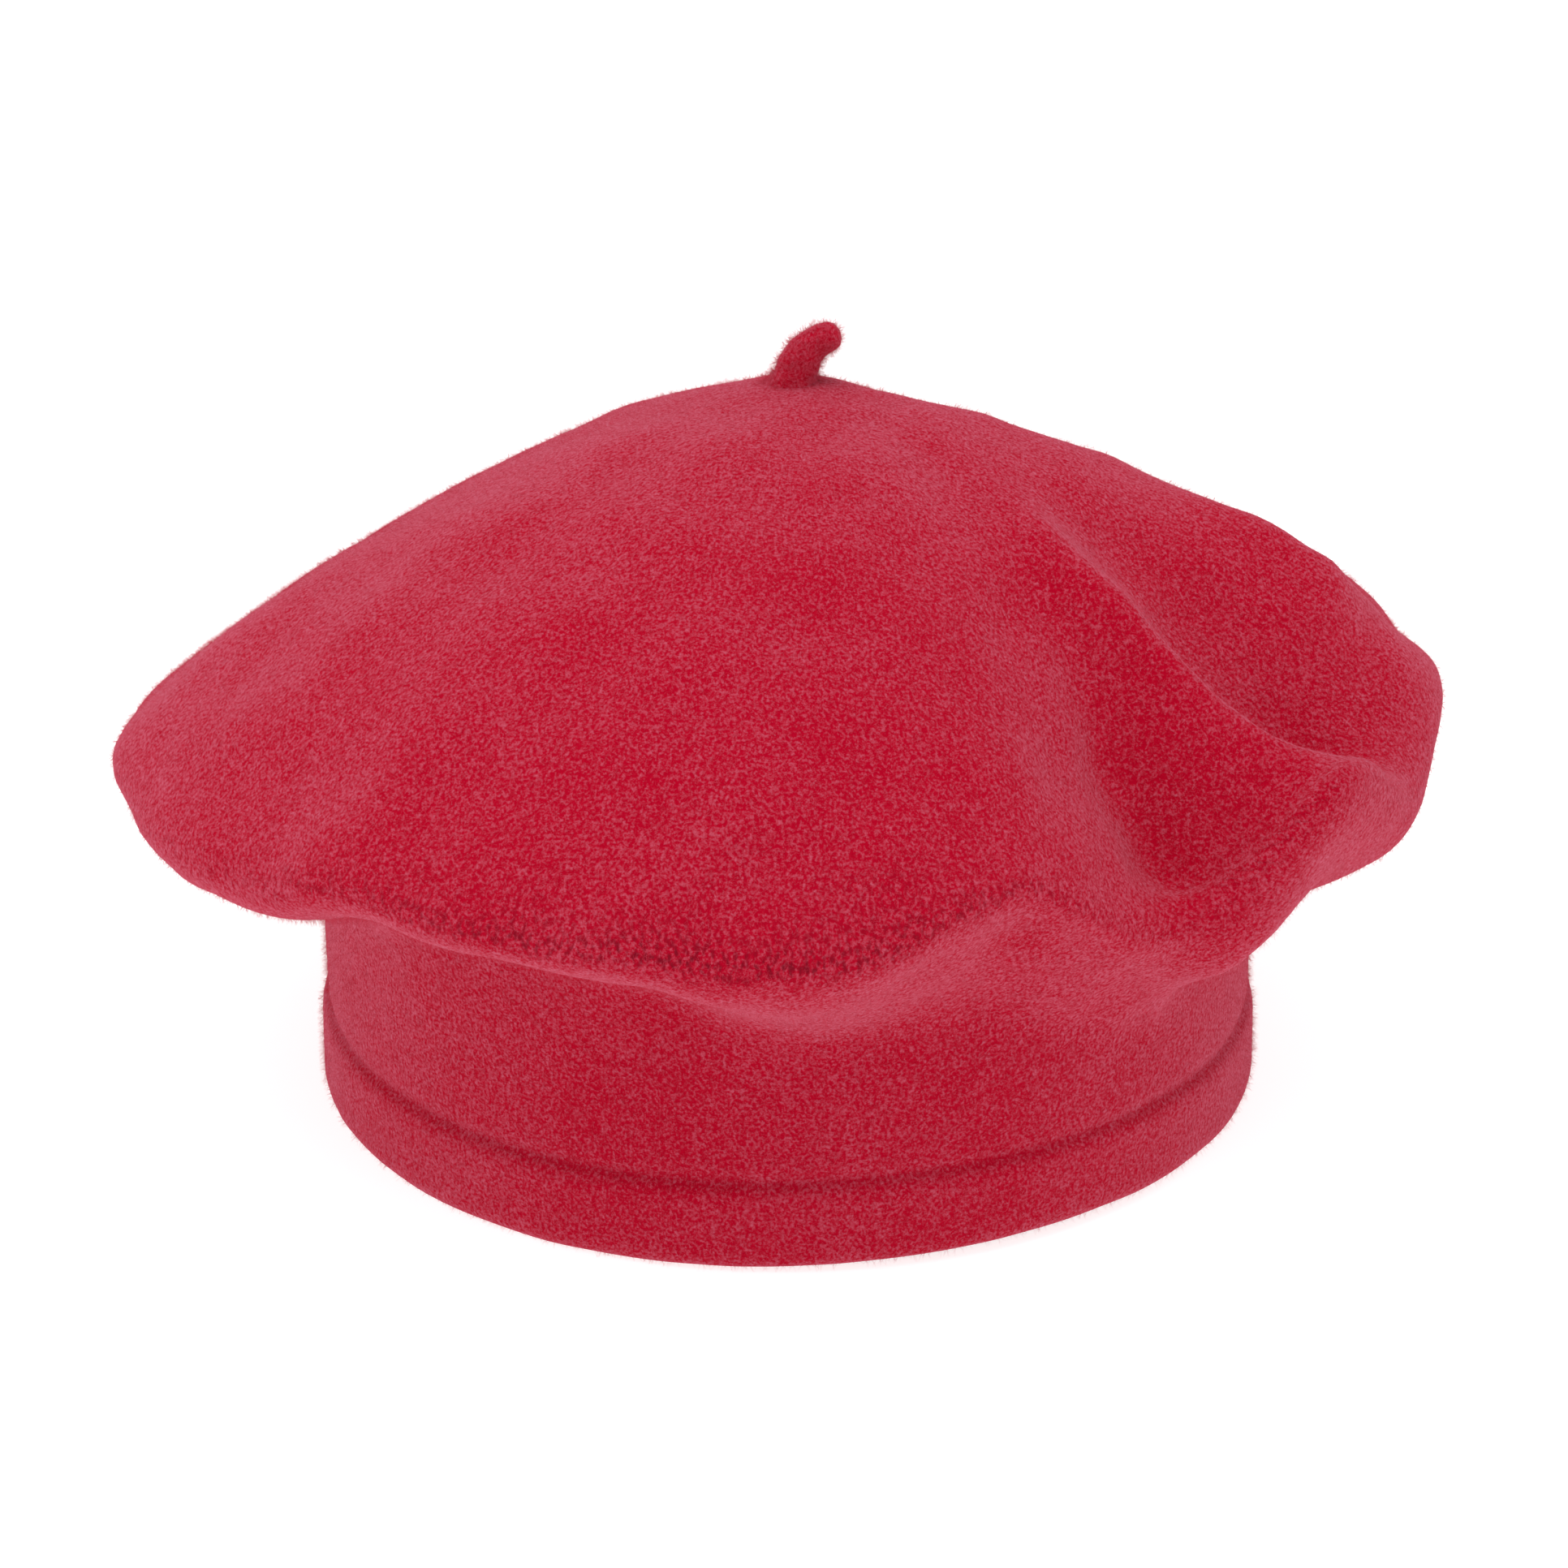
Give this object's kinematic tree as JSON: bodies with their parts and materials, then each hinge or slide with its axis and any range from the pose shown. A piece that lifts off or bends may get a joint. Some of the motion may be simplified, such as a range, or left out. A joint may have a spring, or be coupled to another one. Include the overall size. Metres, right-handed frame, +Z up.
{
  "type": "beret",
  "caption": "Fulled-wool beret with a soft overhanging crown, a short curved stalk, and an upright collar with a turned-in hem, sewn ribbon and labels inside.",
  "frame": {"origin": "middle of the head opening, on the surface that the beret stands on", "axes": "+Z up along the head opening's axis to the crown, -Y the front, +X the wearer's left as it stands, towards which the stalk leans"},
  "size_m": [0.275, 0.275, 0.1649],
  "materials": {
    "wool_felt": "crimson fulled wool with a short soft nap",
    "red_thread": "matt dark red sewing thread",
    "grosgrain": "ribbed dark red grosgrain ribbon",
    "label_satin": "blank cream woven label with a slight satin sheen",
    "care_tape": "blank white matt tape"
  },
  "bodies": {
    "collar": {"collar_felt": "wool_felt", "hem_stitches": "red_thread", "sweatband_ribbon": "grosgrain", "ribbon_stitches": "red_thread", "ribbon_tack": "red_thread"},
    "crown": {"crown_felt": "wool_felt", "stalk_root": "wool_felt", "root_stitches": "red_thread"},
    "stalk": {"stalk": "wool_felt"},
    "maker_label": {"maker_label": "label_satin", "maker_label_stitches": "red_thread"},
    "care_label": {"care_label": "care_tape", "care_label_stitches": "red_thread"}
  },
  "joints": [
    {"name": "crown_press", "type": "slide", "parent": "collar", "child": "crown", "axis": [0, 0, -1], "range_m": [0, 0.028]},
    {"name": "stalk_bend", "type": "hinge", "parent": "crown", "child": "stalk", "pos_m": [0.0024, 0, 0.1537], "axis": [0, 1, 0], "range_deg": [-70, 20], "stiffness_Nm_per_rad": 0.002},
    {"name": "maker_label_flap", "type": "hinge", "parent": "collar", "child": "maker_label", "pos_m": [0, 0.0901, 0.046], "axis": [-1, 0, 0], "range_deg": [0, 150]},
    {"name": "care_label_flap", "type": "hinge", "parent": "collar", "child": "care_label", "pos_m": [-0.071, 0.05547, 0.046], "axis": [-0.6157, -0.788, 0], "range_deg": [0, 150]}
  ]
}
